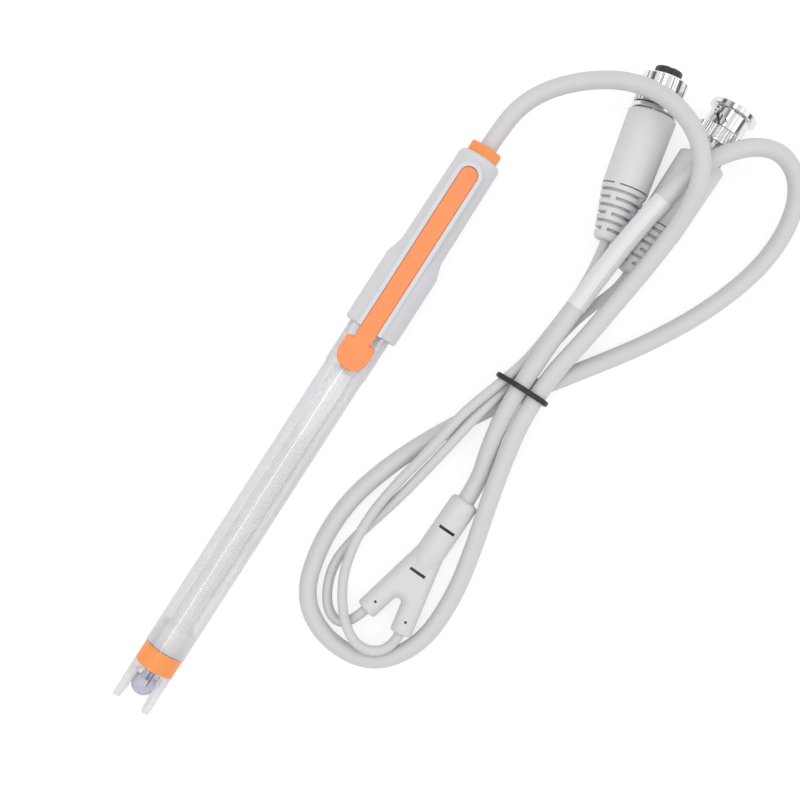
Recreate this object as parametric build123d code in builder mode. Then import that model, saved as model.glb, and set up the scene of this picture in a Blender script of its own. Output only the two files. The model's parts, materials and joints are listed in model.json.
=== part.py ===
import math
import os

from build123d import *

# Electrode sizes in millimetres, measured along its own axis
tube_d = 12.0
tube_wall = 1.0
tube_show = 103.8
collar_step = 0.25
ring_step = 0.2
ring_length = 5.8
prong_length = 12.1
prong_wall = 1.6
guard_base = 2.5
cap_length = 56.1
cap_wide_length = 21.3
cap_flare_length = 4.7
cap_wall = 1.6
cap_neck_d = 12.9
cap_top_d = 12.3
socket_depth = 14.0
nut_height = 3.0
nut_flats = 9.0
nut_shank_length = 5.0
nut_face_x = 90.4

# Filler strip sizes
strip_width = 5.1
strip_thickness = 1.3
strip_to_top = 4.4
rail_margin = 1.2
floor_wall = 0.6
head_width = 8.9
head_length = 8.3
neck_length = 3.5
filler_hole_d = 3.5

# Glass and wires inside the tube
stem_d = 6.0
stem_wall = 0.8
bulb_d = 7.0
bulb_recess = 3.4
probe_d = 1.0
junction_d = 1.0
wire_d = 0.4
wire_start = 20.0

# Cable sizes
cable_d = 5.0
tail_d = 2.8

# Plug sizes
boot_d = 13.7
boot_slit_d = 13.0
boot_end_d = 7.4
boot_sleeve_length = 22.0
boot_rib_length = 14.8
rib_first = 2.1
rib_pitch = 2.12
rib_gap = 0.9
rib_rows = 6
rib_depth = 1.3
rib_bridge = 1.6
rib_bridge_turn = 61
slit_gap = 0.45
screw_ring_d = 12.9
screw_collar_d = 13.1
insert_d = 7.7
bayonet_flange_d = 14.0
bayonet_barrel_d = 11.4
bayonet_knurl_d = 13.8

# Splitter sizes
splitter_d = 8.2
splitter_length = 40.5
splitter_stem = 19.8
leg_d = 6.2
leg_spread = 5.8
window_back = 10.2
window_ahead = 3.9
window_width = 4.9
dot_back = 3.7
crotch_r = 1.2

# Clearances
fit = 0.05
slide = 0.1
rest_gap = 0.2

# Radii that follow from the sizes
tube_r = tube_d / 2
bore_r = tube_r - tube_wall
collar_r = tube_r + collar_step
ring_r = tube_r - ring_step
socket_r = collar_r + fit
cap_r = socket_r + cap_wall
strip_floor = socket_r + floor_wall
strip_top = strip_floor + strip_thickness
rail_top = strip_top + 0.2
spigot_r = bore_r - fit
stem_r = stem_d / 2
cable_r = cable_d / 2
tail_r = tail_d / 2
plug_bore_r = tail_r + fit

# Stations along the axis, counted from the nut face towards the tip
cap_top = -nut_height
cap_end = cap_top - cap_length
ring_top = cap_end - tube_show
ring_end = ring_top - ring_length
base_end = ring_end - guard_base
prong_end = ring_end - prong_length
tube_end = cap_end + socket_depth
head_shoulder = cap_end - neck_length
head_end = head_shoulder - head_length
head_centre = head_end + head_width / 2
hinge_x = cap_end - 0.8
strip_end = cap_top - strip_to_top
strip_round = strip_end - strip_width / 2
collar_start = head_end - 1.2
cap_corner = 0.8

# The electrode lies tip down on the edge of the cap and on the guard
lean = math.atan((cap_r - ring_r) / (cap_end + cap_corner - base_end))
axis_height = cap_r * math.cos(lean) - (cap_end + cap_corner) * math.sin(lean)
lying = Plane(
    origin=(nut_face_x, 0, axis_height),
    x_dir=(math.cos(lean), 0, math.sin(lean)),
    z_dir=(-math.sin(lean), 0, math.cos(lean)),
)
long_axis = Axis(lying.origin, lying.x_dir)


def across(base, station):
    """Plane square to a base plane's x direction at a station along it."""
    return Plane(
        origin=base.from_local_coords((station, 0, 0)),
        x_dir=base.y_dir,
        z_dir=base.x_dir,
    )


def upright(base, side=0):
    """Plane holding the base plane's x direction and its up direction."""
    return Plane(
        origin=base.from_local_coords((0, side, 0)),
        x_dir=base.x_dir,
        z_dir=-base.y_dir,
    )


# Clear tube with the filling hole
with BuildPart() as tube:
    with BuildSketch(lying):
        with BuildLine():
            Polyline(
                (ring_top, bore_r),
                (ring_top, tube_r),
                (collar_start, tube_r),
                (collar_start + 1.0, collar_r),
                (tube_end, collar_r),
                (tube_end, bore_r),
                close=True,
            )
        make_face()
    revolve(axis=long_axis)
    with BuildSketch(lying):
        with Locations((head_centre, 0)):
            Circle(filler_hole_d / 2)
    extrude(amount=collar_r + 2, mode=Mode.SUBTRACT)
tube.part.label = "tube"

# Moulded cap with the raised rail and the channel for the strip
with BuildPart() as electrode_cap:
    with BuildSketch(lying):
        with BuildLine():
            Polyline(
                (cap_end, 0),
                (cap_end, cap_r),
                (cap_end + cap_wide_length, cap_r),
                (cap_end + cap_wide_length + cap_flare_length, cap_neck_d / 2),
                (cap_top, cap_top_d / 2),
                (cap_top, 0),
                close=True,
            )
        make_face()
    revolve(axis=long_axis)
    end_rims = electrode_cap.edges().filter_by(GeomType.CIRCLE).sort_by(long_axis)
    fillet(end_rims[0], radius=cap_corner)
    fillet(electrode_cap.edges().filter_by(GeomType.CIRCLE).sort_by(long_axis)[-1], radius=1.4)
    with BuildSketch(lying.offset(2.0)):
        with Locations(((cap_end + strip_round) / 2, 0)):
            Rectangle(strip_round - cap_end, strip_width + 2 * rail_margin)
        with Locations((strip_round, 0)):
            Circle(strip_width / 2 + rail_margin)
    extrude(amount=rail_top - 2.0)
    with BuildSketch(lying):
        with BuildLine():
            Polyline(
                (cap_end - 1, 0),
                (cap_end - 1, socket_r),
                (tube_end + fit, socket_r),
                (tube_end + fit, bore_r - 0.3),
                (cap_top - 11.0, bore_r - 0.3),
                (cap_top - 11.0, nut_flats * 0.43 + fit),
                (cap_top + 1, nut_flats * 0.43 + fit),
                (cap_top + 1, 0),
                close=True,
            )
        make_face()
    revolve(axis=long_axis, mode=Mode.SUBTRACT)
    with BuildSketch(lying.offset(strip_floor)):
        with Locations(((cap_end - 1 + strip_round) / 2, 0)):
            Rectangle(strip_round - cap_end + 1, strip_width + 2 * fit)
        with Locations((strip_round, 0)):
            Circle(strip_width / 2 + fit)
    extrude(amount=strip_thickness + 2, mode=Mode.SUBTRACT)
electrode_cap.part.label = "electrode_cap"

# Rubber strip lying in the channel
with BuildPart() as filler_strip:
    with BuildSketch(lying.offset(strip_floor)):
        with Locations(((cap_end + strip_round) / 2, 0)):
            Rectangle(strip_round - cap_end, strip_width)
        with Locations((strip_round, 0)):
            Circle(strip_width / 2)
    extrude(amount=strip_thickness)
filler_strip.part.label = "filler_strip"

# Rubber flap over the filling hole, hinged just outside the cap
with BuildPart() as filler_flap:
    with BuildSketch(lying.offset(strip_floor - 4.0)) as head_outline:
        with Locations((head_centre, 0)):
            Circle(head_width / 2)
        with Locations(((head_centre + head_shoulder) / 2, 0)):
            Rectangle(head_shoulder - head_centre, head_width)
        fillet(head_outline.vertices().sort_by(long_axis)[-2:], radius=1.1)
    extrude(amount=4.0 + strip_thickness)
    with BuildSketch(across(lying, head_end - 1)):
        Circle(collar_r + rest_gap)
    extrude(amount=head_length + neck_length + 2, mode=Mode.SUBTRACT)
    with BuildSketch(lying.offset(strip_floor)):
        with Locations(((head_centre + hinge_x) / 2, 0)):
            Rectangle(hinge_x - head_centre, strip_width)
    extrude(amount=strip_thickness)
    with BuildSketch(upright(lying)):
        with Locations((hinge_x, strip_floor + strip_thickness / 2)):
            Circle(strip_thickness / 2)
    extrude(amount=strip_width / 2, both=True)
    with BuildSketch(lying.offset(collar_r + rest_gap + 0.3)):
        with Locations((head_centre, 0)):
            Circle(filler_hole_d / 2 - 0.55)
    extrude(amount=-tube_wall - 0.6, taper=6)
filler_flap.part.label = "filler_flap"

# Hexagonal gland nut screwed into the cap
with BuildPart() as gland_nut:
    with BuildSketch(across(lying, cap_top)):
        RegularPolygon(radius=nut_flats / 2, side_count=6, major_radius=False, rotation=30)
    extrude(amount=nut_height)
    chamfer(gland_nut.faces().sort_by(long_axis)[-1].edges(), length=0.4)
    with BuildSketch(across(lying, cap_top)):
        Circle(nut_flats * 0.43)
    extrude(amount=-nut_shank_length)
    with BuildSketch(across(lying, cap_top - nut_shank_length)):
        Circle(cable_r + slide)
    extrude(amount=nut_shank_length + nut_height, mode=Mode.SUBTRACT)
gland_nut.part.label = "gland_nut"

# Rubber bush that the nut squeezes round the cable
with BuildPart() as gland_bush:
    with BuildSketch(across(lying, cap_top - nut_shank_length)):
        Circle(nut_flats * 0.43)
        Circle(cable_r + fit, mode=Mode.SUBTRACT)
    extrude(amount=-4.5)
gland_bush.part.label = "gland_bush"

# Coloured ring between the tube and the guard
with BuildPart() as guard_ring:
    with BuildSketch(across(lying, ring_end)):
        Circle(ring_r)
        Circle(bore_r, mode=Mode.SUBTRACT)
    extrude(amount=ring_length)
guard_ring.part.label = "guard_ring"

# Places round the stem where the probe, the wire and the junction run
lane_r = (stem_r + spigot_r) / 2
probe_at = (0, -lane_r)
wire_at = (lane_r * math.cos(math.radians(150)), lane_r * math.sin(math.radians(150)))
junction_at = (lane_r * math.cos(math.radians(55)), lane_r * math.sin(math.radians(55)))

# Clear guard with two prongs and a spigot inside the tube
with BuildPart() as guard:
    with BuildSketch(across(lying, prong_end)):
        Circle(ring_r)
        Circle(ring_r - prong_wall, mode=Mode.SUBTRACT)
    extrude(amount=prong_length - guard_base)
    with BuildSketch(upright(lying)) as prong_side:
        with BuildLine():
            Polyline(
                (prong_end, -2.3),
                (prong_end, 2.3),
                (base_end - 1.5, 3.3),
                (base_end, 4.0),
                (base_end, -4.0),
                (base_end - 1.5, -3.3),
                close=True,
            )
        make_face()
        fillet(prong_side.vertices().sort_by(long_axis)[:2], radius=1.8)
    extrude(amount=tube_d, both=True, mode=Mode.INTERSECT)
    with BuildSketch(across(lying, base_end)):
        Circle(ring_r)
    extrude(amount=guard_base)
    with BuildSketch(across(lying, ring_end)):
        Circle(spigot_r)
    extrude(amount=ring_length + 7)
    with BuildSketch(across(lying, base_end)):
        Circle(stem_r + fit)
        with Locations(probe_at):
            Circle(probe_d / 2 + fit)
        with Locations(junction_at):
            Circle(junction_d / 2 + fit)
    extrude(amount=guard_base + ring_length + 7, mode=Mode.SUBTRACT)
guard.part.label = "guard"

# Glass stem blown into a bulb at the tip
bulb_r = bulb_d / 2
bulb_x = prong_end + bulb_recess + bulb_r
bulb_wall = stem_wall * 0.6
bulb_in = bulb_r - bulb_wall
stem_in = stem_r - stem_wall
stem_top = tube_end + 4.0
outer_meet = bulb_x + math.sqrt(bulb_r**2 - stem_r**2)
inner_meet = bulb_x + math.sqrt(bulb_in**2 - stem_in**2)
with BuildPart() as glass_stem:
    with BuildSketch(lying):
        with BuildLine():
            ThreePointArc((bulb_x - bulb_r, 0), (bulb_x, bulb_r), (outer_meet, stem_r))
            Polyline((outer_meet, stem_r), (stem_top, stem_r), (stem_top, stem_in), (inner_meet, stem_in))
            ThreePointArc((inner_meet, stem_in), (bulb_x, bulb_in), (bulb_x - bulb_in, 0))
            Line((bulb_x - bulb_in, 0), (bulb_x - bulb_r, 0))
        make_face()
    revolve(axis=long_axis)
glass_stem.part.label = "glass_stem"

# Silver wire inside the stem
with BuildPart() as measuring_wire:
    with BuildSketch(across(lying, bulb_x - 0.5)):
        with Locations((-1.1, 0)):
            Circle(wire_d / 2)
    extrude(amount=stem_top + 3.0 - bulb_x)
measuring_wire.part.label = "measuring_wire"

# Seal in the top of the stem
with BuildPart() as stem_seal:
    with BuildSketch(across(lying, stem_top - 5.0)):
        Circle(stem_in - fit)
        with Locations((-1.1, 0)):
            Circle(wire_d / 2 + fit, mode=Mode.SUBTRACT)
    extrude(amount=5.0)
stem_seal.part.label = "stem_seal"

# Plug closing the top of the tube round the stem
top_plug_start = cap_end + 1.5
with BuildPart() as top_plug:
    with BuildSketch(across(lying, top_plug_start)):
        Circle(spigot_r)
    extrude(amount=tube_end - top_plug_start)
    with BuildSketch(across(lying, top_plug_start + 4.0)):
        Circle(spigot_r + 1)
        Circle(spigot_r - 0.35, mode=Mode.SUBTRACT)
    extrude(amount=1.3, mode=Mode.SUBTRACT)
    with BuildSketch(across(lying, top_plug_start)):
        Circle(stem_r + fit)
        with Locations(probe_at):
            Circle(probe_d / 2 + fit)
        with Locations(wire_at):
            Circle(wire_d / 2 + fit)
    extrude(amount=tube_end - top_plug_start, mode=Mode.SUBTRACT)
top_plug.part.label = "top_plug"

# Sealing ring in the groove of the plug
with BuildPart() as top_o_ring:
    with BuildSketch(across(lying, top_plug_start + 4.1)):
        Circle(spigot_r)
        Circle(spigot_r - 0.3, mode=Mode.SUBTRACT)
    extrude(amount=1.1)
top_o_ring.part.label = "top_o_ring"

# Reference wire, temperature probe and porous junction
with BuildPart() as reference_wire:
    with BuildSketch(across(lying, ring_top + wire_start)):
        with Locations(wire_at):
            Circle(wire_d / 2)
    extrude(amount=tube_end + 3.0 - ring_top - wire_start)
reference_wire.part.label = "reference_wire"

with BuildPart() as temperature_probe:
    with BuildSketch(across(lying, base_end - 2.5)):
        with Locations(probe_at):
            Circle(probe_d / 2)
    extrude(amount=tube_end + 3.0 - base_end + 2.5)
    fillet(temperature_probe.edges().sort_by(long_axis)[0], radius=probe_d * 0.4)
temperature_probe.part.label = "temperature_probe"

with BuildPart() as porous_junction:
    with BuildSketch(across(lying, base_end)):
        with Locations(junction_at):
            Circle(junction_d / 2)
    extrude(amount=guard_base + ring_length + 7.0)
porous_junction.part.label = "porous_junction"

# Plugs and splitter lie on the table, each on a plane at its cable entry
screw_heading = math.radians(12.3)
screw_plug = Plane(
    origin=(87.2, -40.9, max(boot_d, screw_collar_d, screw_ring_d) / 2),
    x_dir=(math.cos(screw_heading), math.sin(screw_heading), 0),
    z_dir=(0, 0, 1),
)
bayonet_heading = math.radians(-0.3)
bayonet_plug = Plane(
    origin=(83.0, -51.1, max(boot_d, bayonet_flange_d, bayonet_knurl_d) / 2),
    x_dir=(math.cos(bayonet_heading), math.sin(bayonet_heading), 0),
    z_dir=(0, 0, 1),
)
splitter_heading = math.radians(178.2)
splitter_plane = Plane(
    origin=(6.5, -47.55, splitter_d / 2),
    x_dir=(math.cos(splitter_heading), math.sin(splitter_heading), 0),
    z_dir=(0, 0, 1),
)
leg_root = (splitter_stem - 2.0, 1.0)
leg_tip = (splitter_length, leg_spread)
leg_run = math.hypot(leg_tip[0] - leg_root[0], leg_tip[1] - leg_root[1])


def on_leg(side, past_tip):
    """Point on a splitter leg's axis, counted outwards from the leg's end."""
    share = 1 + past_tip / leg_run
    along = leg_root[0] + (leg_tip[0] - leg_root[0]) * share
    aside = leg_root[1] + (leg_tip[1] - leg_root[1]) * share
    return splitter_plane.from_local_coords((along, side * aside, 0))


# Hand-chosen routes of the cords, first two points on the electrode axis
cable_start = lying.from_local_coords((-6.4, 0, 0))
cable_leave = lying.from_local_coords((3.6, 0, 0))
main_route = [
    cable_start,
    cable_leave,
    (104.5, -0.8, 9.2),
    (113.0, -5.2, 10.2),
    (120.0, -12.5, 12.4),
    (125.0, -21.5, 15.8),
    (126.5, -31.0, 18.4),
    (124.5, -40.0, 20.6),
    (119.5, -47.5, 22.8),
    (112.0, -52.5, 22.8),
    (102.0, -54.4, 18.8),
    (89.5, -53.8, 14.8),
    (75.0, -52.2, 11.8),
    (61.0, -50.4, 10.4),
    (47.5, -48.0, 9.7),
    (33.5, -47.9, 9.0),
    (21.0, -50.1, 8.2),
    (9.6, -52.7, 7.5),
    (-3.0, -56.2, 4.8),
    (-18.0, -59.3, 2.8),
    (-34.0, -58.8, 2.6),
    (-45.9, -50.4, 2.6),
    (-47.2, -35.8, 2.6),
    (-40.6, -24.2, 2.6),
    (-26.0, -20.0, 2.6),
    (-10.5, -20.2, 2.6),
    (5.0, -25.0, 2.6),
    (20.0, -32.2, 2.8),
    (34.0, -40.6, 3.7),
    (47.0, -49.8, 4.0),
    (58.0, -57.8, 3.0),
    (72.0, -67.4, 2.6),
    (88.5, -76.0, 2.6),
    (104.5, -81.2, 2.7),
    (118.5, -81.6, 4.2),
    (129.0, -77.0, 7.8),
    (132.5, -68.5, 12.0),
    (129.5, -61.0, 15.4),
    (123.5, -55.2, 17.4),
    (117.0, -51.2, 17.6),
    (109.5, -48.4, 17.4),
    (97.5, -46.2, 15.8),
    (85.5, -44.8, 13.4),
    (73.0, -43.9, 11.4),
    (60.0, -43.2, 10.2),
    (47.5, -42.7, 9.7),
    (33.5, -42.8, 8.8),
    (22.0, -44.8, 6.4),
    splitter_plane.from_local_coords((-6.0, 0, 0)),
    splitter_plane.from_local_coords((4.0, 0, 0)),
]
ph_tail_route = [
    on_leg(-1, -2.9),
    on_leg(-1, 2.7),
    (-41.2, -36.9, 2.4),
    (-40.2, -32.2, 1.8),
    (-35.4, -28.5, 1.5),
    (-28.5, -26.2, 1.5),
    (-20.5, -26.8, 1.5),
    (-12.0, -29.2, 2.0),
    (-2.5, -31.6, 3.8),
    (7.0, -33.4, 6.0),
    (17.0, -35.2, 7.8),
    (26.5, -36.8, 8.0),
    (35.0, -38.8, 7.5),
    (46.0, -42.0, 2.9),
    (54.0, -44.2, 2.4),
    (64.0, -45.8, 2.6),
    (72.5, -48.6, 5.2),
    bayonet_plug.from_local_coords((-3.5, 0, 0)),
    bayonet_plug.from_local_coords((4.0, 0, 0)),
]
temperature_tail_route = [
    on_leg(1, -3.6),
    on_leg(1, 2.7),
    (-41.6, -49.4, 7.2),
    (-43.2, -43.8, 6.8),
    (-40.2, -38.0, 6.4),
    (-35.0, -33.4, 4.8),
    (-28.5, -29.8, 4.5),
    (-20.0, -27.8, 4.8),
    (-10.5, -27.4, 5.0),
    (0.0, -28.8, 5.4),
    (10.0, -30.8, 7.0),
    (19.0, -32.4, 8.2),
    (27.0, -33.7, 8.9),
    (35.0, -36.3, 9.3),
    (46.0, -40.0, 6.6),
    (53.0, -41.2, 4.4),
    (62.5, -42.2, 3.0),
    (73.0, -42.9, 3.8),
    screw_plug.from_local_coords((-4.3, 0, 0)),
    screw_plug.from_local_coords((4.0, 0, 0)),
]


def bend_radii(points, name):
    """Radius at each inner point, from the shorter run and the turn there."""
    radii = []
    for before, here, after in zip(points, points[1:], points[2:]):
        run_in = Vector(here) - Vector(before)
        run_out = Vector(after) - Vector(here)
        turn = math.radians(run_in.get_angle(run_out))
        radii.append(0.45 * min(run_in.length, run_out.length) / math.tan(turn / 2))
    print(name, "bend radii", [round(r, 1) for r in radii])
    return radii


# Main cable, one loop on each side of the tie
with BuildPart() as main_cable:
    with BuildLine() as main_path:
        FilletPolyline(*main_route, radius=bend_radii(main_route, "main cable"))
    with BuildSketch(Plane(origin=main_path.line @ 0, z_dir=main_path.line % 0)):
        Circle(cable_r)
    sweep(path=main_path.line)
main_cable.part.label = "main_cable"

# Thin tail from the splitter to the bayonet plug
with BuildPart() as ph_tail:
    with BuildLine() as ph_path:
        FilletPolyline(*ph_tail_route, radius=bend_radii(ph_tail_route, "ph tail"))
    with BuildSketch(Plane(origin=ph_path.line @ 0, z_dir=ph_path.line % 0)):
        Circle(tail_r)
    sweep(path=ph_path.line)
ph_tail.part.label = "ph_tail"

# Thin tail from the splitter to the screw plug
with BuildPart() as temperature_tail:
    with BuildLine() as temperature_path:
        FilletPolyline(
            *temperature_tail_route, radius=bend_radii(temperature_tail_route, "temperature tail")
        )
    with BuildSketch(Plane(origin=temperature_path.line @ 0, z_dir=temperature_path.line % 0)):
        Circle(tail_r)
    sweep(path=temperature_path.line)
temperature_tail.part.label = "temperature_tail"

for cord, path, radius in (
    (main_cable, main_path, cable_r),
    (ph_tail, ph_path, tail_r),
    (temperature_tail, temperature_path, tail_r),
):
    run = path.wires()[0].length
    print(cord.part.label, round(run, 1), round(cord.part.volume / (math.pi * radius**2 * run), 4))

# Label sleeve on the strand between the two plugs
label_points = main_route[40:45]
label_ends = [
    (Vector(label_points[0]) + Vector(label_points[1])) / 2,
    (Vector(label_points[3]) + Vector(label_points[4])) / 2,
]
with BuildPart() as cable_label:
    with BuildLine() as label_path:
        FilletPolyline(
            label_ends[0], *label_points[1:4], label_ends[1], radius=bend_radii(label_points, "label")
        )
    with BuildSketch(Plane(origin=label_path.line @ 0, z_dir=label_path.line % 0)):
        Circle(cable_r + 0.3)
        Circle(cable_r + fit, mode=Mode.SUBTRACT)
    sweep(path=label_path.line)
cable_label.part.label = "cable_label"

# Rubber tie stretched round the five strands where each run has its middle
tie_width = 1.5
tie_thickness = 0.9
tie_slack = 0.35
tied_runs = [
    (main_route[14], main_route[15], cable_r),
    (main_route[28], main_route[29], cable_r),
    (main_route[45], main_route[46], cable_r),
    (ph_tail_route[12], ph_tail_route[13], tail_r),
    (temperature_tail_route[13], temperature_tail_route[14], tail_r),
]
tie_circles = []
for first, second, radius in tied_runs:
    middle = (Vector(first) + Vector(second)) / 2
    heading = (Vector(second) - Vector(first)).normalized()
    widen = radius / abs(heading.X) - radius
    tie_circles.append((middle.Y - widen, middle.Z, radius))
    tie_circles.append((middle.Y + widen, middle.Z, radius))
tie_x = ((Vector(main_route[14]) + Vector(main_route[15])) / 2).X
tie_plane = Plane(origin=(tie_x - tie_width / 2, 0, 0), x_dir=(0, 1, 0), z_dir=(1, 0, 0))
with BuildPart() as cable_tie:
    with BuildSketch(tie_plane):
        with BuildLine():
            for y, z, radius in tie_circles:
                CenterArc((y, z), radius + tie_slack + tie_thickness, 0, 360)
        make_hull()
    extrude(amount=tie_width)
    with BuildSketch(tie_plane):
        with BuildLine():
            for y, z, radius in tie_circles:
                CenterArc((y, z), radius + tie_slack, 0, 360)
        make_hull()
    extrude(amount=tie_width, mode=Mode.SUBTRACT)
    outer_edges = [face.outer_wire().edges() for face in cable_tie.faces().filter_by(Axis.X)]
    fillet(outer_edges[0] + outer_edges[1], radius=tie_thickness * 0.6)
cable_tie.part.label = "cable_tie"

# Splitter moulded round the main cable and the two tails
splitter_r = splitter_d / 2
leg_r = leg_d / 2
splitter_axis = Axis(splitter_plane.origin, splitter_plane.x_dir)
leg_planes = []
for side in (-1, 1):
    leg_start = splitter_plane.from_local_coords((leg_root[0], side * leg_root[1], 0))
    leg_heading = on_leg(side, 0) - leg_start
    leg_planes.append(Plane(origin=leg_start, x_dir=(0, 0, 1), z_dir=leg_heading))

# Web between the legs, ending in a rounded crotch
leg_slope = (leg_tip[1] - leg_root[1]) / (leg_tip[0] - leg_root[0])
leg_turn = math.atan(leg_slope)
crotch_span = crotch_r + leg_r
crotch_x = leg_root[0] + (crotch_span / math.cos(leg_turn) - leg_root[1]) / leg_slope
crotch_y = crotch_span / math.cos(leg_turn)
web_half = leg_r - 0.03
dot_x = leg_tip[0] - dot_back
dot_y = leg_tip[1] - dot_back * leg_slope
with BuildPart() as web:
    with BuildSketch(splitter_plane.offset(-web_half)):
        with BuildLine():
            Polyline(
                (leg_root[0], leg_root[1]),
                (crotch_x, crotch_y),
                (crotch_x, -crotch_y),
                (leg_root[0], -leg_root[1]),
                close=True,
            )
        make_face()
    extrude(amount=2 * web_half)
    with BuildSketch(upright(splitter_plane)):
        with BuildLine():
            Polyline(
                (crotch_x - crotch_span, leg_r),
                (crotch_x - crotch_span, leg_r + 1),
                (crotch_x, leg_r + 1),
                (crotch_x, -leg_r - 1),
                (crotch_x - crotch_span, -leg_r - 1),
                (crotch_x - crotch_span, -leg_r),
            )
            ThreePointArc(
                (crotch_x - crotch_span, -leg_r), (crotch_x - crotch_r, 0), (crotch_x - crotch_span, leg_r)
            )
        make_face()
    crotch_centre = splitter_plane.from_local_coords((crotch_x, 0, 0))
    revolve(axis=Axis(crotch_centre, splitter_plane.z_dir), mode=Mode.SUBTRACT)

with BuildPart() as splitter:
    with BuildSketch(splitter_plane):
        with BuildLine():
            Polyline(
                (0, 0),
                (0, splitter_r),
                (splitter_stem, splitter_r),
                (splitter_stem + 7.0, leg_r - 0.3),
                (splitter_stem + 7.0, 0),
                close=True,
            )
        make_face()
    revolve(axis=splitter_axis)
    fillet(splitter.edges().filter_by(GeomType.CIRCLE).sort_by(splitter_axis)[0], radius=1.3)
    for leg_plane in leg_planes:
        with BuildSketch(leg_plane):
            Circle(leg_r)
        extrude(amount=leg_run)
    leg_rims = splitter.edges().filter_by(GeomType.CIRCLE).sort_by(splitter_axis)[-2:]
    fillet(leg_rims, radius=0.8)
    add(web.part)
    with BuildSketch(across(splitter_plane, 0)):
        Circle(cable_r + fit)
    extrude(amount=5.2, mode=Mode.SUBTRACT)
    for leg_plane in leg_planes:
        with BuildSketch(leg_plane.offset(leg_run)):
            Circle(tail_r + fit)
        extrude(amount=-5.5, mode=Mode.SUBTRACT)
    with BuildSketch(splitter_plane.offset(splitter_r - 1.6)):
        with Locations((splitter_stem - window_back, 0), (splitter_stem + window_ahead, 0)):
            Rectangle(0.85, window_width)
        with Locations((dot_x, dot_y), (dot_x, -dot_y)):
            Circle(0.4)
    extrude(amount=3.0, mode=Mode.SUBTRACT)
splitter.part.label = "splitter"

# Shared stations of both plugs, counted from the cable entry
sleeve_top = boot_rib_length + boot_sleeve_length
shank_r = boot_d / 2 - 1.9
shank_depth = 9.0
boot_r = boot_d / 2
slit_r = boot_slit_d / 2
end_r = boot_end_d / 2
boot_outline = [
    (0, plug_bore_r),
    (0, end_r - 0.5),
    (0.5, end_r),
    (boot_rib_length, slit_r),
    (sleeve_top - 0.4, boot_r),
    (sleeve_top, boot_r - 0.4),
    (sleeve_top, shank_r + fit),
    (sleeve_top - shank_depth, shank_r + fit),
    (sleeve_top - shank_depth, plug_bore_r),
]
rib_cuts = [(rib_first + row * rib_pitch, rib_gap) for row in range(rib_rows)]
rib_cuts.append((boot_rib_length, slit_gap))

# Boot of the screw plug
screw_axis = Axis(screw_plug.origin, screw_plug.x_dir)
with BuildPart() as screw_plug_boot:
    with BuildSketch(screw_plug):
        with BuildLine():
            Polyline(*boot_outline, close=True)
        make_face()
    revolve(axis=screw_axis)
    for row, (station, gap) in enumerate(rib_cuts):
        floor_r = end_r + (slit_r - end_r) * station / boot_rib_length - rib_depth
        with BuildSketch(across(screw_plug, station)):
            Circle(boot_r + 2)
            Circle(floor_r, mode=Mode.SUBTRACT)
            bridge_turn = rib_bridge_turn + 90 * (row % 2)
            Rectangle(2 * boot_d, rib_bridge, rotation=bridge_turn, mode=Mode.SUBTRACT)
        extrude(amount=gap, mode=Mode.SUBTRACT)
screw_plug_boot.part.label = "screw_plug_boot"

# Boot of the bayonet plug
bayonet_axis = Axis(bayonet_plug.origin, bayonet_plug.x_dir)
with BuildPart() as bayonet_boot:
    with BuildSketch(bayonet_plug):
        with BuildLine():
            Polyline(*boot_outline, close=True)
        make_face()
    revolve(axis=bayonet_axis)
    for row, (station, gap) in enumerate(rib_cuts):
        floor_r = end_r + (slit_r - end_r) * station / boot_rib_length - rib_depth
        with BuildSketch(across(bayonet_plug, station)):
            Circle(boot_r + 2)
            Circle(floor_r, mode=Mode.SUBTRACT)
            bridge_turn = rib_bridge_turn + 90 * (row % 2)
            Rectangle(2 * boot_d, rib_bridge, rotation=bridge_turn, mode=Mode.SUBTRACT)
        extrude(amount=gap, mode=Mode.SUBTRACT)
bayonet_boot.part.label = "bayonet_boot"

# Screw plug body, stations counted from the sleeve top
insert_r = insert_d / 2
shell_r = insert_r + 0.75
ring_lip_r = shell_r + fit
ring_chamber_r = shell_r + 0.8
screw_ring_r = screw_ring_d / 2
screw_collar_start = sleeve_top + 0.4
screw_collar_end = sleeve_top + 1.9
screw_ring_start = screw_collar_end + rest_gap
screw_ring_end = sleeve_top + 10.6
ring_lip = 1.4
shoulder_start = screw_ring_start + ring_lip + rest_gap
insert_end = sleeve_top + 13.2
insert_length = 16.2
with BuildPart() as screw_plug_body:
    with BuildSketch(screw_plug):
        with BuildLine():
            Polyline(
                (sleeve_top - shank_depth + 1.0, insert_r + fit),
                (sleeve_top - shank_depth + 1.0, shank_r),
                (sleeve_top, shank_r),
                (screw_collar_start, shank_r),
                (screw_collar_start, screw_collar_d / 2 - 0.4),
                (screw_collar_start + 0.4, screw_collar_d / 2),
                (screw_collar_end - 0.4, screw_collar_d / 2),
                (screw_collar_end, screw_collar_d / 2 - 0.4),
                (screw_collar_end, shell_r),
                (shoulder_start, shell_r),
                (shoulder_start, ring_chamber_r - slide),
                (shoulder_start + 0.8, ring_chamber_r - slide),
                (shoulder_start + 0.8, shell_r),
                (sleeve_top + 10.2, shell_r),
                (sleeve_top + 10.2, insert_r + fit),
                close=True,
            )
        make_face()
    revolve(axis=screw_axis)
screw_plug_body.part.label = "screw_plug_body"

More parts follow.
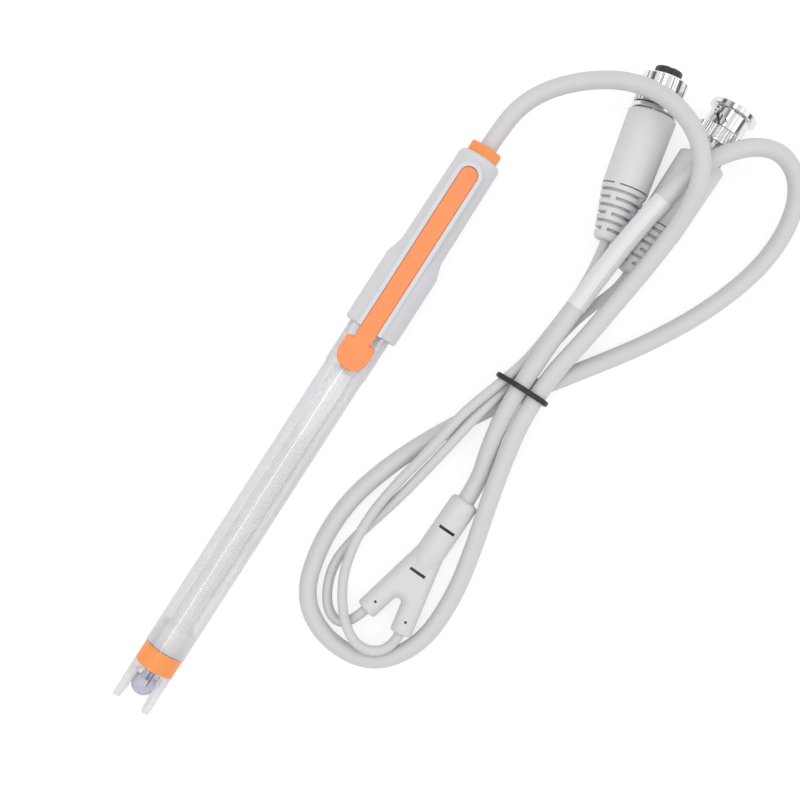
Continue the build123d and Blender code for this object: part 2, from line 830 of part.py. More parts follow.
# Knurled coupling ring of the screw plug
with BuildPart() as screw_plug_ring:
    with BuildSketch(screw_plug):
        with BuildLine():
            Polyline(
                (screw_ring_start, ring_lip_r),
                (screw_ring_start, screw_ring_r),
                (screw_ring_start + 3.0, screw_ring_r),
                (screw_ring_start + 3.0, screw_ring_r - 0.35),
                (screw_ring_start + 3.4, screw_ring_r - 0.35),
                (screw_ring_start + 3.4, screw_ring_r),
                (screw_ring_end - 0.4, screw_ring_r),
                (screw_ring_end, screw_ring_r - 0.4),
                (screw_ring_end, ring_chamber_r),
                (screw_ring_start + ring_lip, ring_chamber_r),
                (screw_ring_start + ring_lip, ring_lip_r),
                close=True,
            )
        make_face()
    revolve(axis=screw_axis)
    with BuildSketch(across(screw_plug, screw_ring_start)):
        with PolarLocations(screw_ring_r + 0.15, 30):
            Rectangle(0.7, 0.7, rotation=45)
    extrude(amount=3.0, mode=Mode.SUBTRACT)
    with BuildSketch(across(screw_plug, screw_ring_start + 3.4)):
        with PolarLocations(screw_ring_r + 1.3, 10):
            Circle(1.55)
    extrude(amount=screw_ring_end - screw_ring_start, mode=Mode.SUBTRACT)
screw_plug_ring.part.label = "screw_plug_ring"

# Black insert of the screw plug with its contact holes
contact_circle = insert_r * 0.52
with BuildPart() as screw_plug_insert:
    with BuildSketch(across(screw_plug, insert_end)):
        Circle(insert_r)
    extrude(amount=-insert_length)
    chamfer(screw_plug_insert.faces().sort_by(screw_axis)[-1].edges(), length=0.25)
    with BuildSketch(across(screw_plug, insert_end)):
        with PolarLocations(contact_circle, 4):
            Circle(0.6)
        with Locations((0, insert_r)):
            Rectangle(1.2, 1.4)
    extrude(amount=-6.0, mode=Mode.SUBTRACT)
screw_plug_insert.part.label = "screw_plug_insert"

with BuildPart() as screw_plug_contacts:
    with BuildSketch(across(screw_plug, insert_end - 6.0)):
        with PolarLocations(contact_circle, 4):
            Circle(0.55)
            Circle(0.3, mode=Mode.SUBTRACT)
    extrude(amount=5.2)
screw_plug_contacts.part.label = "screw_plug_contacts"

# Bayonet plug body with its sprung contact sleeve
neck_r = 4.15
bayonet_lip_r = neck_r + fit
bayonet_chamber_r = 4.95
sleeve_r = 4.05
sleeve_in = 3.45
core_r = 2.2
bayonet_lip_start = sleeve_top + 5.0
bayonet_front = sleeve_top + 16.8
with BuildPart() as bayonet_body:
    with BuildSketch(bayonet_plug):
        with BuildLine():
            Polyline(
                (sleeve_top - shank_depth + 1.0, core_r),
                (sleeve_top - shank_depth + 1.0, shank_r),
                (sleeve_top, shank_r),
                (sleeve_top, neck_r),
                (sleeve_top + 7.0, neck_r),
                (sleeve_top + 7.0, bayonet_chamber_r - slide - 0.05),
                (sleeve_top + 8.0, bayonet_chamber_r - slide - 0.05),
                (sleeve_top + 8.0, sleeve_r),
                (sleeve_top + 15.6, sleeve_r),
                (sleeve_top + 15.6, sleeve_in),
                (sleeve_top + 8.5, sleeve_in),
                (sleeve_top + 8.5, core_r),
                close=True,
            )
        make_face()
    revolve(axis=bayonet_axis)
    with BuildSketch(across(bayonet_plug, sleeve_top)):
        RegularPolygon(radius=4.8, side_count=6, major_radius=False, rotation=30)
        Circle(neck_r - 0.5, mode=Mode.SUBTRACT)
    extrude(amount=4.4)
    with BuildSketch(across(bayonet_plug, sleeve_top + 10.5)):
        Rectangle(12, 0.5)
        Rectangle(0.5, 12)
    extrude(amount=6.0, mode=Mode.SUBTRACT)
bayonet_body.part.label = "bayonet_body"

# Bayonet coupling ring with knurl, barrel, slots and front flange
knurl_r = bayonet_knurl_d / 2
barrel_r = bayonet_barrel_d / 2
flange_r = bayonet_flange_d / 2
slot_station = sleeve_top + 12.3
with BuildPart() as bayonet_ring:
    with BuildSketch(bayonet_plug):
        with BuildLine():
            Polyline(
                (bayonet_lip_start, bayonet_lip_r),
                (bayonet_lip_start, knurl_r - 0.3),
                (bayonet_lip_start + 0.3, knurl_r),
                (sleeve_top + 9.2, knurl_r),
                (sleeve_top + 9.6, knurl_r - 0.4),
                (sleeve_top + 9.6, barrel_r),
                (sleeve_top + 14.6, barrel_r),
                (sleeve_top + 14.8, flange_r - 0.3),
                (sleeve_top + 15.1, flange_r),
                (bayonet_front - 0.4, flange_r),
                (bayonet_front, flange_r - 0.4),
                (bayonet_front, bayonet_chamber_r),
                (bayonet_lip_start + 1.0, bayonet_chamber_r),
                (bayonet_lip_start + 1.0, bayonet_lip_r),
                close=True,
            )
        make_face()
    revolve(axis=bayonet_axis)
    with BuildSketch(across(bayonet_plug, bayonet_lip_start + 0.6)):
        with PolarLocations(knurl_r + 0.1, 54):
            Rectangle(0.5, 0.5, rotation=45)
    extrude(amount=3.6, mode=Mode.SUBTRACT)
    for slot_turn in (50, 230):
        slot_normal = (
            bayonet_plug.y_dir * math.cos(math.radians(slot_turn))
            + bayonet_plug.z_dir * math.sin(math.radians(slot_turn))
        )
        slot_origin = bayonet_plug.from_local_coords((slot_station, 0, 0))
        with BuildSketch(Plane(origin=slot_origin, x_dir=bayonet_plug.x_dir, z_dir=slot_normal)):
            SlotOverall(5.6, 1.7, rotation=52)
            with Locations((-1.5, -1.9)):
                Circle(1.25)
        extrude(amount=barrel_r + 0.6, mode=Mode.SUBTRACT)
bayonet_ring.part.label = "bayonet_ring"

# Insulator, pin, spring washer and gasket of the bayonet plug
with BuildPart() as bayonet_insulator:
    with BuildSketch(bayonet_plug):
        with BuildLine():
            Polyline(
                (sleeve_top - 2.0, 0.7 + fit),
                (sleeve_top - 2.0, core_r - fit),
                (sleeve_top + 8.5, core_r - fit),
                (sleeve_top + 8.5, sleeve_in - fit),
                (sleeve_top + 11.0, sleeve_in - fit),
                (sleeve_top + 11.0, 0.7 + fit),
                close=True,
            )
        make_face()
    revolve(axis=bayonet_axis)
bayonet_insulator.part.label = "bayonet_insulator"

with BuildPart() as bayonet_pin:
    with BuildSketch(across(bayonet_plug, sleeve_top - 4.0)):
        Circle(0.7)
    extrude(amount=18.6)
    chamfer(bayonet_pin.faces().sort_by(bayonet_axis)[-1].edges(), length=0.3)
bayonet_pin.part.label = "bayonet_pin"

with BuildPart() as bayonet_washer:
    with BuildSketch(across(bayonet_plug, sleeve_top + 6.25)):
        Circle(bayonet_chamber_r - slide)
        Circle(neck_r + slide, mode=Mode.SUBTRACT)
    extrude(amount=0.5)
bayonet_washer.part.label = "bayonet_washer"

with BuildPart() as bayonet_gasket:
    with BuildSketch(across(bayonet_plug, sleeve_top + 8.0)):
        Circle(bayonet_chamber_r - slide - 0.05)
        Circle(sleeve_r + fit, mode=Mode.SUBTRACT)
    extrude(amount=1.0)
bayonet_gasket.part.label = "bayonet_gasket"

# One file for each piece
pieces = [
    tube,
    electrode_cap,
    filler_strip,
    filler_flap,
    gland_nut,
    gland_bush,
    guard_ring,
    guard,
    glass_stem,
    measuring_wire,
    stem_seal,
    top_plug,
    top_o_ring,
    reference_wire,
    temperature_probe,
    porous_junction,
    main_cable,
    ph_tail,
    temperature_tail,
    cable_label,
    cable_tie,
    splitter,
    screw_plug_boot,
    bayonet_boot,
    screw_plug_body,
    screw_plug_ring,
    screw_plug_insert,
    screw_plug_contacts,
    bayonet_body,
    bayonet_ring,
    bayonet_insulator,
    bayonet_pin,
    bayonet_washer,
    bayonet_gasket,
]
os.makedirs("parts", exist_ok=True)
for piece in pieces:
    export_step(piece.part, f"parts/{piece.part.label}.step")
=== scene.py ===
import json
import math

import bpy
from mathutils import Matrix, Vector


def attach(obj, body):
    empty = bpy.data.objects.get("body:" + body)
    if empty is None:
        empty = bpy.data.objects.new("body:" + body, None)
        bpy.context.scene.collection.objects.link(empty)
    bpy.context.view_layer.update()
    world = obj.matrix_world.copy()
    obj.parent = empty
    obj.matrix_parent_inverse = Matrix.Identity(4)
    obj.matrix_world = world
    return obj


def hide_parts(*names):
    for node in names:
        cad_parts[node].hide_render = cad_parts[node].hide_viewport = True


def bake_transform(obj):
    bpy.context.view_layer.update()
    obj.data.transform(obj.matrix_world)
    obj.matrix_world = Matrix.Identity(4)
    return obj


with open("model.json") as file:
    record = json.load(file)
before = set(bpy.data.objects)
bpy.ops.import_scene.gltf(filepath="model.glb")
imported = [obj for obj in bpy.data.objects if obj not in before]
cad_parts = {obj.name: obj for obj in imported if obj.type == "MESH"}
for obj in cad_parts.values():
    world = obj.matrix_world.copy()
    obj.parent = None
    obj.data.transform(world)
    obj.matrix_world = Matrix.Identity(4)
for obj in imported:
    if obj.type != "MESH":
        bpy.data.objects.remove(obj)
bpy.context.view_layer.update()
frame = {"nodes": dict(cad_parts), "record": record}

# Lengths are written in millimetres, and this turns them into metres
MM = 0.001

# Sizes and directions shared with the solids
CABLE_D = 5.0
TAIL_D = 2.8
LEAN = math.radians(1.0656)
AXIS_START = Vector((90.4, 0.0, 8.983))
LONG = Vector((math.cos(LEAN), 0.0, math.sin(LEAN)))
UP = Vector((-math.sin(LEAN), 0.0, math.cos(LEAN)))
SIDE = Vector((0.0, 1.0, 0.0))

# Routes of the cords
MAIN_ROUTE = [
    (84.0, 0.0, 8.864), (94.0, 0.0, 9.05), (104.5, -0.8, 9.2), (113.0, -5.2, 10.2),
    (120.0, -12.5, 12.4), (125.0, -21.5, 15.8), (126.5, -31.0, 18.4), (124.5, -40.0, 20.6),
    (119.5, -47.5, 22.8), (112.0, -52.5, 22.8), (102.0, -54.4, 18.8), (89.5, -53.8, 14.8),
    (75.0, -52.2, 11.8), (61.0, -50.4, 10.4), (47.5, -48.0, 9.7), (33.5, -47.9, 9.0),
    (21.0, -50.1, 8.2), (9.6, -52.7, 7.5), (-3.0, -56.2, 4.8), (-18.0, -59.3, 2.8),
    (-34.0, -58.8, 2.6), (-45.9, -50.4, 2.6), (-47.2, -35.8, 2.6), (-40.6, -24.2, 2.6),
    (-26.0, -20.0, 2.6), (-10.5, -20.2, 2.6), (5.0, -25.0, 2.6), (20.0, -32.2, 2.8),
    (34.0, -40.6, 3.7), (47.0, -49.8, 4.0), (58.0, -57.8, 3.0), (72.0, -67.4, 2.6),
    (88.5, -76.0, 2.6), (104.5, -81.2, 2.7), (118.5, -81.6, 4.2), (129.0, -77.0, 7.8),
    (132.5, -68.5, 12.0), (129.5, -61.0, 15.4), (123.5, -55.2, 17.4), (117.0, -51.2, 17.6),
    (109.5, -48.4, 17.4), (97.5, -46.2, 15.8), (85.5, -44.8, 13.4), (73.0, -43.9, 11.4),
    (60.0, -43.2, 10.2), (47.5, -42.7, 9.7), (33.5, -42.8, 8.8), (22.0, -44.8, 6.4),
    (12.5, -47.74, 4.1), (2.5, -47.42, 4.1),
]
PH_TAIL_ROUTE = [
    (-30.98, -41.17, 4.1), (-36.42, -39.84, 4.1), (-41.2, -36.9, 2.4), (-40.2, -32.2, 1.8),
    (-35.4, -28.5, 1.5), (-28.5, -26.2, 1.5), (-20.5, -26.8, 1.5), (-12.0, -29.2, 2.0),
    (-2.5, -31.6, 3.8), (7.0, -33.4, 6.0), (17.0, -35.2, 7.8), (26.5, -36.8, 8.0),
    (35.0, -38.8, 7.5), (46.0, -42.0, 2.9), (54.0, -44.2, 2.4), (64.0, -45.8, 2.6),
    (72.5, -48.6, 5.2), (79.5, -51.08, 7.0), (87.0, -51.12, 7.0),
]
TEMPERATURE_TAIL_ROUTE = [
    (-30.62, -51.44, 4.1), (-36.82, -52.55, 4.1), (-41.6, -49.4, 7.2), (-43.2, -43.8, 6.8),
    (-40.2, -38.0, 6.4), (-35.0, -33.4, 4.8), (-28.5, -29.8, 4.5), (-20.0, -27.8, 4.8),
    (-10.5, -27.4, 5.0), (0.0, -28.8, 5.4), (10.0, -30.8, 7.0), (19.0, -32.4, 8.2),
    (27.0, -33.7, 8.9), (35.0, -36.3, 9.3), (46.0, -40.0, 6.6), (53.0, -41.2, 4.4),
    (62.5, -42.2, 3.0), (73.0, -42.9, 3.8), (83.0, -41.82, 6.85), (91.1, -40.05, 6.85),
]

# Label on the main cord: its two end runs, its thickness and the sideways share where its tail begins
LABEL_RUNS = (40, 43)
LABEL_D = 5.6
LABEL_EDGE = 0.45

# Stations along the electrode's axis: zero at the nut's face, negative towards the tip
STRIP_END = -7.4
CAP_END = -59.1
HINGE_X = -59.9
NECK_END = -62.5
SHOULDER_END = -63.3
HOLE_CENTRE = -66.45
HEAD_CENTRE = -66.85
HEAD_END = -71.3
BUBBLE_TIP = -93.8
SLEEVE_START = -162.7
RING_TOP = -162.9
BULB_X = -173.9

# Rubber strip and head, with heights above the axis
STRIP_WIDTH = 5.1
HEAD_WIDTH = 8.9
STRIP_FLOOR = 6.9
STRIP_TOP = 8.2
HEAD_LOW = 4.0
HEAD_REST_R = 6.4
RUBBER_EDGE = 0.28
STOPPER_R = 1.2
STOPPER_LOW = 5.0
STOPPER_TOP = 7.0

# Cuts that fit the rubber to the tube and to the floor of its channel
CAP_GAP = 0.3
HEEL = 0.6
CUT_PAST = 2.0
CUT_HALF = 8.0

# Rows of points along the rubber: rounded end, strip, bend, shoulder and round head
END_ROWS = 9
END_FIRST_TURN = 82.0
END_TURN_STEP = 10.25
STRIP_ROWS = (-18.0, -26.0, -34.0, -42.0, -50.0, -56.0)
BEND_ROWS = 13
BEND_FIRST = 2.2
BEND_STEP = 0.34
SHOULDER_ROWS = ((0.0, 0.0), (0.06, 0.45), (0.16, 0.76), (0.4, 0.93), (0.9, 1.0))
HEAD_ROWS = 11
HEAD_TURN_STEP = 8.2
ROW_CELLS = 8
PARKED = 1000.0
ROW_NEAR = 0.3

# Liquid, threaded sleeve and filling of the bulb
BORE_R = 5.0
LIQUID_LAP = 0.02
LIQUID_FOOT = 0.1
LIQUID_HEAD = 1.4
BUBBLE_TILT = (0.068, 0.03, 0.997)
SLEEVE_PITCH = 0.58
SLEEVE_TURNS = 180
SLEEVE_STEPS = 28
SLEEVE_ROOT_R = 3.15
SLEEVE_CREST_R = 3.35
SLEEVE_WALL = 0.1
TURN_JOIN = 0.01
BULB_GEL_R = 3.4
GEL_SHOULDER = 2.9
GEL_NECK = 4.0
PICK_NEAR = 0.02

# Places along the frame's first direction where the liquid clears up, and between which the painted shade
# in the thread's roots grows faint
SETTLED_FULL = -66.2
SETTLED_NONE = -61.0
ROOT_SHADE_DEEP = -8.0
ROOT_SHADE_FAINT = 16.0

# Radians of a wave in one scaled unit of the wave texture
WAVE_RATE = 20

# Distances from the middle between which the guard turns milky
PRONG_START = 2.6
PRONG_FULL = 3.6

# Splitter and the black blocks that paint shade into its windows and dots, counted from its cable end
SPLITTER_PLACE = Vector((6.5, -47.55, 4.1))
SPLITTER_TURN = math.radians(178.2)
WINDOW_STATIONS = (9.6, 23.7)
WINDOW_LENGTH = 0.82
WINDOW_WIDTH = 4.86
DOT_STATION = 36.8
DOT_ASIDE = 5.02
DOT_R = 0.39
DOT_DROP = 0.05
SHADE_BLOCK_FLOOR = 2.5
SHADE_BLOCK_TOP = 2.95
SHADE_BLOCK_EDGE = 0.08

# Floor under the part
FLOOR_SIZE = 6000.0
FLOOR_DROP = 0.2

# Bands that the plating mirrors: height of the mirrored direction and its brightness
MIRROR_LOW = 0.9
MIRROR_BANDS = (
    (0.12, 0.75), (0.2, 0.1), (0.42, 0.16), (0.5, 0.85),
    (0.7, 0.7), (0.78, 0.22), (0.86, 0.3), (0.92, 0.9),
)
MIRROR_HIGH = 0.95
MIRROR_BLUE = 1.01

# Camera straight above the table
CAMERA_OVER = (20.0, -17.1)
CAMERA_HEIGHT = 403.0
CAMERA_RIGHT = Vector((0.5418, -0.8405, 0.0))
CAMERA_UP = Vector((0.8405, 0.5418, 0.0))
CAMERA_LENS = 65.0
CAMERA_SENSOR = 36.0


# Shared node group for moulded and jacketed finishes
def build_grain_group():
    """Cloudy colour, uneven gloss and fine height that vary over the surface."""
    group = bpy.data.node_groups.new("moulded_grain", "ShaderNodeTree")
    face = group.interface
    face.new_socket("Color", in_out="INPUT", socket_type="NodeSocketColor")
    for name in ("Cloud", "Cloud Scale", "Roughness", "Gloss Spread", "Grain Scale"):
        face.new_socket(name, in_out="INPUT", socket_type="NodeSocketFloat")
    face.new_socket("Color", in_out="OUTPUT", socket_type="NodeSocketColor")
    face.new_socket("Roughness", in_out="OUTPUT", socket_type="NodeSocketFloat")
    face.new_socket("Height", in_out="OUTPUT", socket_type="NodeSocketFloat")
    nodes, links = group.nodes, group.links
    entry = nodes.new("NodeGroupInput")
    leave = nodes.new("NodeGroupOutput")
    place = nodes.new("ShaderNodeTexCoord")
    cloud = nodes.new("ShaderNodeTexNoise")
    cloud.inputs["Detail"].default_value = 3.0
    links.new(place.outputs["Object"], cloud.inputs["Vector"])
    links.new(entry.outputs["Cloud Scale"], cloud.inputs["Scale"])
    centred = nodes.new("ShaderNodeMath")
    centred.operation = "SUBTRACT"
    centred.inputs[1].default_value = 0.5
    links.new(cloud.outputs["Fac"], centred.inputs[0])
    shade = nodes.new("ShaderNodeMath")
    shade.operation = "MULTIPLY_ADD"
    shade.inputs[2].default_value = 1.0
    links.new(centred.outputs[0], shade.inputs[0])
    links.new(entry.outputs["Cloud"], shade.inputs[1])
    tint = nodes.new("ShaderNodeVectorMath")
    tint.operation = "SCALE"
    links.new(entry.outputs["Color"], tint.inputs[0])
    links.new(shade.outputs[0], tint.inputs["Scale"])
    links.new(tint.outputs[0], leave.inputs["Color"])
    gloss = nodes.new("ShaderNodeMath")
    gloss.operation = "MULTIPLY_ADD"
    links.new(centred.outputs[0], gloss.inputs[0])
    links.new(entry.outputs["Gloss Spread"], gloss.inputs[1])
    links.new(entry.outputs["Roughness"], gloss.inputs[2])
    links.new(gloss.outputs[0], leave.inputs["Roughness"])
    grain = nodes.new("ShaderNodeTexNoise")
    grain.inputs["Detail"].default_value = 4.0
    links.new(place.outputs["Object"], grain.inputs["Vector"])
    links.new(entry.outputs["Grain Scale"], grain.inputs["Scale"])
    links.new(grain.outputs["Fac"], leave.inputs["Height"])
    return group


GRAIN = build_grain_group()


def grained(name, color, cloud, cloud_scale, roughness, gloss_spread, grain_scale, bump_mm, strength):
    """Opaque finish whose colour, gloss and relief come from the grain group."""
    material = bpy.data.materials.new(name)
    material.use_nodes = True
    nodes, links = material.node_tree.nodes, material.node_tree.links
    shader = nodes["Principled BSDF"]
    grain = nodes.new("ShaderNodeGroup")
    grain.node_tree = GRAIN
    grain.inputs["Color"].default_value = (*color, 1.0)
    grain.inputs["Cloud"].default_value = cloud
    grain.inputs["Cloud Scale"].default_value = cloud_scale
    grain.inputs["Roughness"].default_value = roughness
    grain.inputs["Gloss Spread"].default_value = gloss_spread
    grain.inputs["Grain Scale"].default_value = grain_scale
    relief = nodes.new("ShaderNodeBump")
    relief.inputs["Strength"].default_value = strength
    relief.inputs["Distance"].default_value = bump_mm * MM
    links.new(grain.outputs["Color"], shader.inputs["Base Color"])
    links.new(grain.outputs["Roughness"], shader.inputs["Roughness"])
    links.new(grain.outputs["Height"], relief.inputs["Height"])
    links.new(relief.outputs["Normal"], shader.inputs["Normal"])
    return material


def shader_of(material):
    """Surface shader of a finish."""
    return material.node_tree.nodes["Principled BSDF"]


def cap_plastic():
    return grained(
        "cap_plastic",
        color=(0.655, 0.647, 0.675),
        cloud=0.05,
        cloud_scale=90.0,
        roughness=0.5,
        gloss_spread=0.12,
        grain_scale=2600.0,
        bump_mm=0.02,
        strength=0.25,
    )


def orange_silicone():
    material = grained(
        "orange_silicone",
        color=(0.93, 0.288, 0.097),
        cloud=0.05,
        cloud_scale=120.0,
        roughness=0.55,
        gloss_spread=0.1,
        grain_scale=3200.0,
        bump_mm=0.02,
        strength=0.25,
    )
    shader_of(material).inputs["Sheen Weight"].default_value = 0.15
    return material


def orange_moulding():
    return grained(
        "orange_moulding",
        color=(0.91, 0.30, 0.079),
        cloud=0.06,
        cloud_scale=200.0,
        roughness=0.38,
        gloss_spread=0.1,
        grain_scale=2400.0,
        bump_mm=0.02,
        strength=0.2,
    )


def cable_jacket():
    return grained(
        "cable_jacket",
        color=(0.612, 0.597, 0.612),
        cloud=0.05,
        cloud_scale=60.0,
        roughness=0.48,
        gloss_spread=0.1,
        grain_scale=2200.0,
        bump_mm=0.02,
        strength=0.3,
    )


def splitter_moulding():
    return grained(
        "splitter_moulding",
        color=(0.65, 0.634, 0.644),
        cloud=0.05,
        cloud_scale=80.0,
        roughness=0.5,
        gloss_spread=0.1,
        grain_scale=2000.0,
        bump_mm=0.02,
        strength=0.3,
    )


def boot_rubber():
    return grained(
        "boot_rubber",
        color=(0.685, 0.675, 0.695),
        cloud=0.05,
        cloud_scale=80.0,
        roughness=0.5,
        gloss_spread=0.12,
        grain_scale=2000.0,
        bump_mm=0.02,
        strength=0.3,
    )


def label_film():
    return grained(
        "label_film",
        color=(0.725, 0.725, 0.735),
        cloud=0.03,
        cloud_scale=200.0,
        roughness=0.35,
        gloss_spread=0.1,
        grain_scale=3000.0,
        bump_mm=0.01,
        strength=0.2,
    )


def tie_rubber():
    return grained(
        "tie_rubber",
        color=(0.02, 0.02, 0.024),
        cloud=0.3,
        cloud_scale=400.0,
        roughness=0.4,
        gloss_spread=0.15,
        grain_scale=2600.0,
        bump_mm=0.02,
        strength=0.3,
    )


def insert_plastic():
    return grained(
        "insert_plastic",
        color=(0.035, 0.036, 0.042),
        cloud=0.2,
        cloud_scale=400.0,
        roughness=0.45,
        gloss_spread=0.15,
        grain_scale=2600.0,
        bump_mm=0.02,
        strength=0.3,
    )


def seal_rubber():
    return grained(
        "seal_rubber",
        color=(0.35, 0.35, 0.36),
        cloud=0.1,
        cloud_scale=400.0,
        roughness=0.55,
        gloss_spread=0.1,
        grain_scale=2600.0,
        bump_mm=0.02,
        strength=0.3,
    )


def black_sheath():
    return grained(
        "black_sheath",
        color=(0.02, 0.02, 0.022),
        cloud=0.2,
        cloud_scale=500.0,
        roughness=0.5,
        gloss_spread=0.1,
        grain_scale=2600.0,
        bump_mm=0.01,
        strength=0.3,
    )


def porous_ceramic():
    return grained(
        "porous_ceramic",
        color=(0.82, 0.81, 0.78),
        cloud=0.15,
        cloud_scale=1800.0,
        roughness=0.8,
        gloss_spread=0.1,
        grain_scale=4000.0,
        bump_mm=0.03,
        strength=0.6,
    )


def white_insulator():
    return grained(
        "white_insulator",
        color=(0.82, 0.82, 0.80),
        cloud=0.05,
        cloud_scale=400.0,
        roughness=0.4,
        gloss_spread=0.1,
        grain_scale=3000.0,
        bump_mm=0.01,
        strength=0.2,
    )


def plated_metal(name, color, roughness):
    """Bright plate whose gloss is broken up by fine turning marks."""
    material = grained(
        name,
        color=color,
        cloud=0.06,
        cloud_scale=500.0,
        roughness=roughness,
        gloss_spread=0.1,
        grain_scale=5000.0,
        bump_mm=0.004,
        strength=0.3,
    )
    shader_of(material).inputs["Metallic"].default_value = 1.0
    return material


def scale_color(material, share):
    """Multiplies a finish's grained colour by a share."""
    nodes, links = material.node_tree.nodes, material.node_tree.links
    grain = next(item for item in nodes if item.type == "GROUP")
    shade = nodes.new("ShaderNodeVectorMath")
    shade.operation = "SCALE"
    links.new(grain.outputs["Color"], shade.inputs[0])
    links.new(share, shade.inputs["Scale"])
    links.new(shade.outputs[0], shader_of(material).inputs["Base Color"])


def light_through(material):
    """Lets lamps shine through a finish onto what lies behind it."""
    nodes, links = material.node_tree.nodes, material.node_tree.links
    path = nodes.new("ShaderNodeLightPath")
    passing = nodes.new("ShaderNodeBsdfTransparent")
    passing.inputs["Color"].default_value = (1.0, 1.0, 1.0, 1.0)
    mix = nodes.new("ShaderNodeMixShader")
    links.new(path.outputs["Is Shadow Ray"], mix.inputs["Fac"])
    links.new(shader_of(material).outputs[0], mix.inputs[1])
    links.new(passing.outputs[0], mix.inputs[2])
    links.new(mix.outputs[0], nodes["Material Output"].inputs["Surface"])


def along(material, letter):
    """Place on a piece along one direction of the frame, in metres."""
    nodes, links = material.node_tree.nodes, material.node_tree.links
    place = nodes.new("ShaderNodeTexCoord")
    split = nodes.new("ShaderNodeSeparateXYZ")
    links.new(place.outputs["Object"], split.inputs[0])
    return split.outputs[letter]


def graded(material, source, start, end, first, last):
    """Grade that goes from a first to a last level while its source goes from start to end."""
    nodes, links = material.node_tree.nodes, material.node_tree.links
    grade = nodes.new("ShaderNodeMapRange")
    grade.inputs["From Min"].default_value = start
    grade.inputs["From Max"].default_value = end
    grade.inputs["To Min"].default_value = first
    grade.inputs["To Max"].default_value = last
    links.new(source, grade.inputs["Value"])
    return grade


def clear_plastic(name, color, roughness, ior, clearness):
    """Clear moulded plastic with a faint cloud in its tint and a darker rim."""
    material = grained(
        name,
        color=color,
        cloud=0.02,
        cloud_scale=300.0,
        roughness=roughness,
        gloss_spread=0.02,
        grain_scale=1500.0,
        bump_mm=0.002,
        strength=0.2,
    )
    shader = shader_of(material)
    shader.inputs["Transmission Weight"].default_value = clearness
    shader.inputs["IOR"].default_value = ior
    facing = material.node_tree.nodes.new("ShaderNodeLayerWeight")
    rim = graded(material, facing.outputs["Facing"], start=0.72, end=1.0, first=1.0, last=0.5)
    scale_color(material, rim.outputs["Result"])
    light_through(material)
    return material


def tube_plastic():
    return clear_plastic("tube_plastic", (0.97, 0.97, 0.98), roughness=0.03, ior=1.42, clearness=1.0)


def stem_glass():
    return clear_plastic("stem_glass", (0.92, 0.92, 0.96), roughness=0.02, ior=1.2, clearness=1.0)


def guard_plastic():
    """Clear plastic that is see-through in the middle of the guard and milky along its two prongs."""
    material = clear_plastic("guard_plastic", (0.72, 0.71, 0.75), roughness=0.16, ior=1.3, clearness=0.3)
    nodes, links = material.node_tree.nodes, material.node_tree.links
    aside = nodes.new("ShaderNodeMath")
    aside.operation = "ABSOLUTE"
    links.new(along(material, "Y"), aside.inputs[0])
    veil = graded(
        material, aside.outputs[0], start=PRONG_START * MM, end=PRONG_FULL * MM, first=0.06, last=0.6
    )
    links.new(veil.outputs["Result"], shader_of(material).inputs["Alpha"])
    return material


def milky_liquid():
    """Thin cloudy film that shows the liquid behind the clear wall, thicker to the sides and the ring."""
    material = grained(
        "milky_liquid",
        color=(0.92, 0.91, 0.93),
        cloud=0.04,
        cloud_scale=60.0,
        roughness=0.4,
        gloss_spread=0.05,
        grain_scale=900.0,
        bump_mm=0.002,
        strength=0.1,
    )
    nodes, links = material.node_tree.nodes, material.node_tree.links
    facing = nodes.new("ShaderNodeLayerWeight")
    depth = graded(material, facing.outputs["Facing"], start=0.0, end=0.6, first=0.16, last=0.88)
    settled = graded(
        material,
        along(material, "X"),
        start=SETTLED_FULL * MM,
        end=SETTLED_NONE * MM,
        first=0.62,
        last=0.0,
    )
    cover = nodes.new("ShaderNodeMath")
    cover.operation = "MAXIMUM"
    links.new(depth.outputs["Result"], cover.inputs[0])
    links.new(settled.outputs["Result"], cover.inputs[1])
    links.new(cover.outputs[0], shader_of(material).inputs["Alpha"])
    light_through(material)
    return material


def painted_shade_sleeve():
    """White thread whose roots carry painted shade, darker than its crests, the painted shade strongest
    away from the cap.
    """
    material = grained(
        "painted_shade_sleeve",
        color=(0.97, 0.97, 0.98),
        cloud=0.05,
        cloud_scale=200.0,
        roughness=0.3,
        gloss_spread=0.1,
        grain_scale=1800.0,
        bump_mm=0.01,
        strength=0.2,
    )
    nodes, links = material.node_tree.nodes, material.node_tree.links
    place = nodes.new("ShaderNodeTexCoord")
    thread = nodes.new("ShaderNodeTexWave")
    thread.inputs["Scale"].default_value = 2 * math.pi / (WAVE_RATE * SLEEVE_PITCH * MM)
    links.new(place.outputs["Object"], thread.inputs["Vector"])
    root_shade_level = graded(
        material,
        along(material, "X"),
        start=ROOT_SHADE_DEEP * MM,
        end=ROOT_SHADE_FAINT * MM,
        first=0.54,
        last=0.82,
    )
    # Painted shade: the wave darkens the thread's roots down to a level that rises towards the cap
    painted_root_shade = graded(material, thread.outputs["Fac"], start=0.0, end=1.0, first=0.0, last=1.0)
    links.new(root_shade_level.outputs["Result"], painted_root_shade.inputs["To Min"])
    scale_color(material, painted_root_shade.outputs["Result"])
    return material


def bulb_filling():
    """Lavender gel with fine dots in it."""
    material = grained(
        "bulb_filling",
        color=(0.38, 0.36, 0.45),
        cloud=1.6,
        cloud_scale=2200.0,
        roughness=0.3,
        gloss_spread=0.2,
        grain_scale=1600.0,
        bump_mm=0.1,
        strength=0.6,
    )
    shader_of(material).inputs["Alpha"].default_value = 0.4
    light_through(material)
    return material


def label_tail():
    """Clear end of the label over the grey cable."""
    return grained(
        "label_tail",
        color=(0.63, 0.62, 0.64),
        cloud=0.03,
        cloud_scale=200.0,
        roughness=0.25,
        gloss_spread=0.1,
        grain_scale=3000.0,
        bump_mm=0.01,
        strength=0.2,
    )


